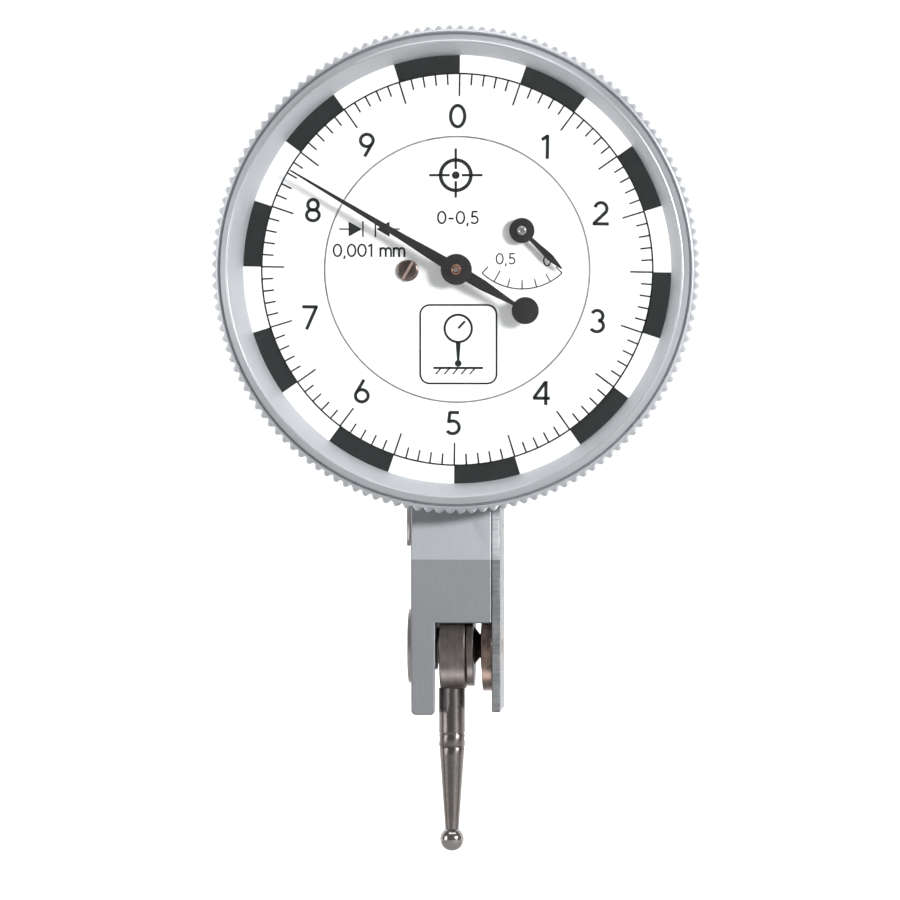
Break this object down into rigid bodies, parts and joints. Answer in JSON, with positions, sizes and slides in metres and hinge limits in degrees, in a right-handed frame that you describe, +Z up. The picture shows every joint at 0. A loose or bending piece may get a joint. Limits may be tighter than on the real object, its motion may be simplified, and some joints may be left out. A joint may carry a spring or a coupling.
{
  "type": "dial test indicator",
  "caption": "Slim lever-type dial test indicator: knurled turning bezel, white dial with revolution counter, forked prismatic body with dovetails and a ball-tipped swivel stylus.",
  "frame": {"origin": "centre of the rear dovetail's land, on the axis of the dial", "axes": "+X to the right and +Z up seen from the dial, stylus hanging down -Z; the dial faces -Y and +Y leaves the rear dovetail"},
  "size_m": [0.04, 0.0184, 0.0685],
  "materials": {
    "satin_chrome": "satin, finely ground",
    "milled_plate": "milled, matt",
    "cover_plate": "satin",
    "bezel_chrome": "satin with bright edges",
    "case_metal": "fine turned",
    "dark_steel": "dark, oiled",
    "bright_steel": "polished",
    "bush_steel": "turned",
    "screw_steel": "slotted, tempered",
    "brass": "fine",
    "ruby": "polished ruby",
    "dial_white": "matt white",
    "crystal": "clear",
    "pointer_black": "satin black",
    "ball_metal": "polished",
    "spring_alloy": "thin strip"
  },
  "bodies": {
    "case": {"body_block": "satin_chrome", "side_plate": "milled_plate", "side_plate_screws": "screw_steel", "left_cover": "cover_plate", "left_cover_screws": "screw_steel", "left_pivot_bush": "cover_plate", "right_pivot_bush": "bush_steel", "side_jewels": "ruby", "dial_case": "case_metal", "dial_case_screws": "screw_steel", "floor_jewels": "ruby", "front_bridge": "brass", "bridge_jewels": "ruby", "bridge_pillars": "brass", "hairspring_stud": "brass", "fixed_dial": "dial_white", "dial_screw": "screw_steel", "bezel_snap_ring": "bright_steel"},
    "bezel": {"bezel_ring": "bezel_chrome", "crystal": "crystal", "dial_ring": "dial_white"},
    "pointer": {"centre_arbor": "bright_steel", "pointer": "pointer_black", "pointer_boss": "brass"},
    "counter": {"counter_arbor": "bright_steel", "counter_wheel": "brass", "counter_hand": "pointer_black", "counter_boss": "bright_steel"},
    "intermediate": {"intermediate_arbor": "bright_steel", "intermediate_wheel": "brass", "hairspring_collet": "brass", "hairspring": "spring_alloy"},
    "crown": {"crown_arbor": "bright_steel", "crown_gear": "brass"},
    "sector": {"sector_arbor": "bright_steel", "sector_gear": "brass", "sector_pin": "bright_steel"},
    "lever": {"lever_arbor": "bright_steel", "lever_carrier": "dark_steel", "friction_washer": "brass", "clamp_nut": "dark_steel"},
    "stylus": {"stylus_hub": "dark_steel", "stylus_stem": "dark_steel", "stylus_ball": "ball_metal"}
  },
  "joints": [
    {"name": "bezel_turn", "type": "hinge", "parent": "case", "child": "bezel", "pos_m": [0, -0.0148, 0], "axis": [0, 1, 0], "continuous": true},
    {"name": "pointer_spin", "type": "hinge", "parent": "case", "child": "pointer", "pos_m": [0, -0.0126, 0], "axis": [0, 1, 0], "range_deg": [0, 1908], "stiffness_Nm_per_rad": 0.00000004, "springref_deg": -3437.75},
    {"name": "intermediate_spin", "type": "hinge", "parent": "case", "child": "intermediate", "pos_m": [0.00176, -0.0115, 0.00314], "axis": [0, 1, 0], "range_deg": [-382.6, 1], "deforming": ["hairspring"]},
    {"name": "counter_spin", "type": "hinge", "parent": "case", "child": "counter", "pos_m": [0.00536, -0.0122, 0.0032], "axis": [0, 1, 0], "range_deg": [-1, 77.32]},
    {"name": "crown_spin", "type": "hinge", "parent": "case", "child": "crown", "pos_m": [0.0005, -0.0056, 0.00314], "axis": [1, 0, 0], "range_deg": [-1, 80.5]},
    {"name": "sector_swing", "type": "hinge", "parent": "case", "child": "sector", "pos_m": [-0.001, -0.0056, -0.00496], "axis": [1, 0, 0], "range_deg": [-10.14, 0.2]},
    {"name": "lever_swing", "type": "hinge", "parent": "case", "child": "lever", "pos_m": [0.0003, -0.0056, -0.0314], "axis": [1, 0, 0], "range_deg": [-0.05, 1.93]},
    {"name": "stylus_swivel", "type": "hinge", "parent": "lever", "child": "stylus", "pos_m": [-0.0007, -0.0056, -0.0314], "axis": [1, 0, 0], "range_deg": [-90, 90]}
  ],
  "couplings": [
    {"joint": "intermediate_spin", "follows": "pointer_spin", "ratio": -0.2},
    {"joint": "counter_spin", "follows": "pointer_spin", "ratio": 0.04},
    {"joint": "crown_spin", "follows": "pointer_spin", "ratio": 0.041667},
    {"joint": "sector_swing", "follows": "pointer_spin", "ratio": -0.0052083},
    {"joint": "lever_swing", "follows": "pointer_spin", "ratio": 0.00098547}
  ]
}
